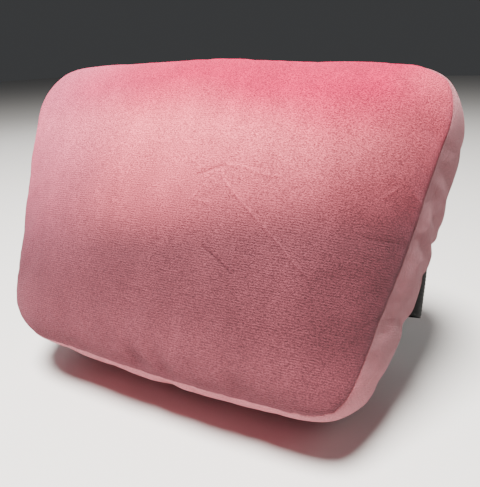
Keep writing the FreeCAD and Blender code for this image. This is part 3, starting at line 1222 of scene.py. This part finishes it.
def bump(tree, shader, height, distance, strength=1.0):
    inputs = {"Height": height, "Distance": distance, "Strength": strength}
    feed(shader, "Normal", node(tree, "Bump", inputs))


# ---- materials

PILE_ROW = 0.0019  # from one row of the pile to the next
PALE_SHEEN = (255, 205, 212)
PINK_SHEEN = (255, 150, 180)


def upright_coordinates(tree):
    """Coordinates on the upright cushion."""
    lean = math.atan2(TURN[1, 2], TURN[1, 1])
    turned = {"Rotation": (lean, 0, 0), "Location": tuple(to_upright((0, 0, 0)))}
    turned["Vector"] = node(tree, "TexCoord", output="Object")
    return node(tree, "Mapping", turned)


def plush_colour_and_painted_light(tree, across, up, deep, low_shade_colour, pale, painted_sheen_colour, top_share):
    """Plush colour: pale, with painted shade low down and to the right, painted light along the top and
    a cool painted sheen at the upper left.
    """
    # top: painted light along the top, where the overhead lamp falls most, in the deep colour
    top = up.ranged(0.050, 0.110) * top_share * across.ranged(0.150, 0.205, 1.0, 0.3)
    # low: painted shade, darker low down and towards the right
    low = (up - maths("MAXIMUM", across, 0.0) * 0.24).ranged(-0.050, 0.068, 1.0, 0.0)
    # side: a painted sheen, cool and pale, at the upper left
    side = across.ranged(-0.17, -0.02, 1.0, 0.0) * up.ranged(-0.09, 0.04, 0.0, 0.75)
    base = mixed(tree, low, linear(pale), linear(low_shade_colour))
    base = mixed(tree, top, base, linear(deep))
    return mixed(tree, side, base, linear(painted_sheen_colour))


def plush_shading(tree, place, across, up, pile, line):
    """How light the plush is: its pile and worn strokes, with painted shade along the seams, in the
    hollows and at the two sides, painted highlight or shade along the folds, and painted bounce light
    along the bottom.
    """
    # right: painted shade on the right, which faces away from the light, mostly below the top
    right = across.ranged(0.11, 0.20) * up.ranged(0.075, 0.13, 0.48, 0.0)
    # left: painted shade low on the left
    left = across.ranged(-0.19, -0.03, 0.24, 0.0) * up.ranged(0.0, 0.07, 1.0, 0.0)
    shade = pile.ranged(0.30, 0.70, 0.42, 1.50)
    for factor in (
        noise(tree, place, 40, 3, (1, 1, 0.45), 0.6).ranged(0.35, 0.7, 0.94, 1.10),
        # painted shade along the seams
        attribute(tree, "seam_distance").ranged(0.0, 0.005, 0.88, 1.0),
        # painted shade in the hollows
        attribute(tree, "nap").ranged(0.0, 1.0, 1.0, 0.80),
        # painted highlight or shade along the pressed folds
        line * 0.28 + 1.0,
        # painted bounce light from the floor, brighter along the bottom
        up.ranged(-0.128, -0.075, 1.55, 1.0),
        1.0 - (right + left),
    ):
        shade = shade * factor
    return node(tree, "CombineColor", {"Red": shade, "Green": shade, "Blue": shade})


def velvet(name, deep, low_shade_colour, pale, painted_sheen_colour, sheen, tint, top_share):
    """Short-pile plush: a fine grain of pile in rows, with painted light along the top, painted shade
    low down and at the sides, and a painted sheen at the left.
    """
    values = {"Roughness": 0.85, "Specular IOR Level": 0.2}
    values.update({"Sheen Weight": sheen, "Sheen Roughness": 0.45, "Sheen Tint": linear(tint)})
    material, tree, shader = new_material(name, values)
    place = upright_coordinates(tree)
    x, z = (node(tree, "SeparateXYZ", {"Vector": place}, axis) for axis in "XZ")
    patches = noise(tree, place, 9, 1.5, (0.8, 1, 1.3)) - 0.5
    up = z + patches * 0.06
    across = x + patches * 0.08
    rows = maths("SINE", z * (2 * math.pi / PILE_ROW) + noise(tree, place, 90, 2) * 9.0)
    rows = rows * up.ranged(-0.02, 0.05, 0.05 * top_share, 0.015 * top_share)
    pile = noise(tree, place, 1000, 2, (0.8, 1, 1.1), 0.8) + rows
    # line: the signed strength of the painted highlight or shade along the pressed folds, also used for
    # their relief
    line = maths("ABSOLUTE", attribute(tree, "fold_offset")).ranged(0.0, 0.0016, 1.0, 0.0)
    line = line * attribute(tree, "fold_strength")
    base = plush_colour_and_painted_light(tree, across, up, deep, low_shade_colour, pale, painted_sheen_colour, top_share)
    shade = plush_shading(tree, place, across, up, pile, line)
    feed(shader, "Base Color", mixed(tree, 1.0, base, shade, "MULTIPLY"))
    bump(tree, shader, pile + line * 0.4, 0.0014)
    return material


def woven(name, dark, light, pitch, roughness, sheen):
    """Cloth woven along its own length, from the along and across attributes."""
    values = {"Roughness": roughness, "Sheen Weight": sheen, "Sheen Roughness": 0.4}
    material, tree, shader = new_material(name, {**values, "Specular IOR Level": 0.15})
    turn = 2 * math.pi / pitch
    warp, weft = (maths("SINE", attribute(tree, way) * turn) for way in ("across", "along"))
    fuzz = noise(tree, node(tree, "TexCoord", output="Object"), 900)
    mark = warp * weft * 0.25 + fuzz
    feed(shader, "Base Color", mixed(tree, mark.ranged(0.25, 0.8), linear(dark), linear(light)))
    bump(tree, shader, mark, 0.0003, 0.6)
    return material


def speckled(name, dark, light, scale, roughness, sheen=0.0, metallic=0.0, relief=0.0002):
    """Plain material with a fine noise in its colour, relief and roughness."""
    values = {"Metallic": metallic, "Sheen Weight": sheen, "Sheen Roughness": 0.4}
    material, tree, shader = new_material(name, values)
    fine = noise(tree, node(tree, "TexCoord", output="Object"), scale, 3)
    feed(shader, "Base Color", mixed(tree, fine.ranged(0.3, 0.7), linear(dark), linear(light)))
    rough = fine.ranged(0.3, 0.7, roughness * 0.85, min(1.0, roughness * 1.15))
    feed(shader, "Roughness", rough)
    bump(tree, shader, fine, relief, 0.5)
    return material


PLUSHES = (  # name; colours of the painted light along the top, of the painted shade low down, of the plush where it is pale, and of the painted sheen at the left; sheen, its colour, share of the painted top light and of the pile's rows
    ("plush_front", (171, 6, 63), (94, 45, 53), (208, 87, 103), (176, 86, 110), 0.15, PINK_SHEEN, 1.0),
    ("plush_boxing", (157, 79, 92), (156, 83, 93), (161, 88, 98), (153, 92, 104), 0.4, PALE_SHEEN, 0.3),
    ("plush_back", (180, 73, 98), (137, 65, 81), (182, 94, 110), (165, 96, 112), 0.3, PALE_SHEEN, 0.3),
)
WEAVES = (  # name, dark and light colour, pitch, roughness, sheen
    ("zipper_tape", (176, 92, 108), (204, 122, 136), 0.0009, 0.75, 0.2),
    ("elastic", (3, 3, 3), (14, 14, 15), 0.0016, 0.85, 0.02),
    ("label_satin", (222, 219, 212), (246, 244, 240), 0.0007, 0.4, 0.15),
)
PLAIN = (  # name, dark and light colour, the noise's scale, roughness, sheen, metallic, relief
    ("insert_cotton", (214, 211, 203), (240, 238, 232), 700, 0.85, 0.2),
    ("fibre", (226, 226, 224), (246, 246, 245), 260, 0.95, 0.3, 0.0, 0.0012),
    ("zipper_coil", (188, 104, 118), (206, 124, 136), 500, 0.38, 0.0, 0.0, 0.00003),
    ("zipper_metal", (186, 184, 181), (202, 200, 197), 900, 0.32, 0.0, 1.0, 0.000004),
    ("black_thread", (6, 6, 6), (26, 26, 27), 2500, 0.7),
    ("pink_thread", (196, 100, 120), (226, 136, 152), 2500, 0.55, 0.2),
)
LOOKS = {}
for make, looks in ((velvet, PLUSHES), (woven, WEAVES), (speckled, PLAIN)):
    for look in looks:
        LOOKS[look[0]] = make(*look)


# ---- camera and stage

VIEW_FROM = (0.2147, -0.3833, 0.3072)
VIEW_TURN = (25.73, 22.37, 1.41)  # turn to the left, tilt down and roll, in degrees
LENS = 34.2
LIT = (0, 0, 0.15)
LIGHTS = (  # name, place, size, watts, colour
    ("key", (-0.05, -0.48, 1.78), 0.6, 172, (1.0, 0.975, 0.94)),
    ("side", (1.3, 1.0, 0.8), 1.0, 7, (1.0, 0.98, 0.96)),
    ("back", (-0.9, 1.5, 1.1), 1.0, 9, (1.0, 0.98, 0.96)),
    ("far", (-1.6, 0.6, 0.9), 1.0, 3, (0.90, 0.95, 1.0)),
)
FLOOR = 6  # half its width


def add_camera():
    yaw, pitch, roll = (math.radians(a) for a in VIEW_TURN)
    level = math.cos(pitch)
    forward = Vector((-math.sin(yaw) * level, math.cos(yaw) * level, -math.sin(pitch)))
    right = Vector((math.cos(yaw), math.sin(yaw), 0))
    down = forward.cross(right)
    across = right * math.cos(roll) + down * math.sin(roll)
    up = right * math.sin(roll) - down * math.cos(roll)
    camera = placed("camera", bpy.data.cameras.new("camera"))
    camera.data.lens = LENS
    camera.data.sensor_width = 36
    turn = Matrix((across, up, -forward)).transposed().to_4x4()
    camera.matrix_world = Matrix.Translation(VIEW_FROM) @ turn
    bpy.context.scene.camera = camera


def add_light(name, place, size, power, color):
    lamp = placed(name, bpy.data.lights.new(name, "AREA"))
    lamp.data.shape = "DISK"
    lamp.data.size = size
    lamp.data.energy = power
    lamp.data.color = color
    lamp.location = place
    lamp.rotation_mode = "QUATERNION"
    lamp.rotation_quaternion = (Vector(LIT) - Vector(place)).to_track_quat("-Z", "Y")


def add_world():
    world = bpy.data.worlds.new("world")
    world.use_nodes = True
    background = world.node_tree.nodes["Background"]
    background.inputs["Color"].default_value = (0.80, 0.82, 0.85, 1)
    background.inputs["Strength"].default_value = 0.06
    bpy.context.scene.world = world


def add_floor():
    corners = [(x * FLOOR, y * FLOOR, 0) for x, y in ((-1, -1), (1, -1), (1, 1), (-1, 1))]
    mesh = bpy.data.meshes.new("floor")
    mesh.from_pydata(corners, [], [(0, 1, 2, 3)])
    values = {"Base Color": (0.66, 0.647, 0.63, 1), "Roughness": 0.55}
    mesh.materials.append(new_material("floor", values)[0])
    placed("floor", mesh)


# ---- run

add_camera()
for light in LIGHTS:
    add_light(*light)
add_world()
add_floor()

cover = Cover()
points = filled_cover(cover)
fine = Fine(cover, points)
fine.push(dent_depth(fine.places))
pucker_seams(fine, cover.ring)
front_hollows(fine)
press_folds(fine)

for name, slot in (("front_panel", "plush_front"), ("back_panel", "plush_back")):
    cut_out(fine, name, slot)
for name in ("main_boxing", "zip_boxing_front", "zip_boxing_rear"):
    cut_out(fine, name, "plush_boxing")

add_insert(cover, points)

rear_seam = seam_path(fine, DEPTH)
add_seam_thread(*seam_path(fine, 0), "front_seam_thread")
add_seam_thread(*rear_seam, "rear_seam_thread")
add_label(rear_seam[0])

add_strap()
for side, end in ((-1, "left"), (1, "right")):
    add_tack(side, "strap_tack_" + end)

for side, end in ((-1, "front"), (1, "rear")):
    add_tape(side, "zipper_tape_" + end)
    add_coil(side, "zipper_coil_" + end)
    add_topstitch(fine, side, "zip_topstitch_" + end)
for name in ("zipper_top_stops", "zipper_bottom_stop"):
    add_metal(name, BODY, STOP_EDGE)
add_metal("zipper_slider", "slider", SLIDER_EDGE)
add_metal("zipper_pull", "pull", SLIDER_EDGE)
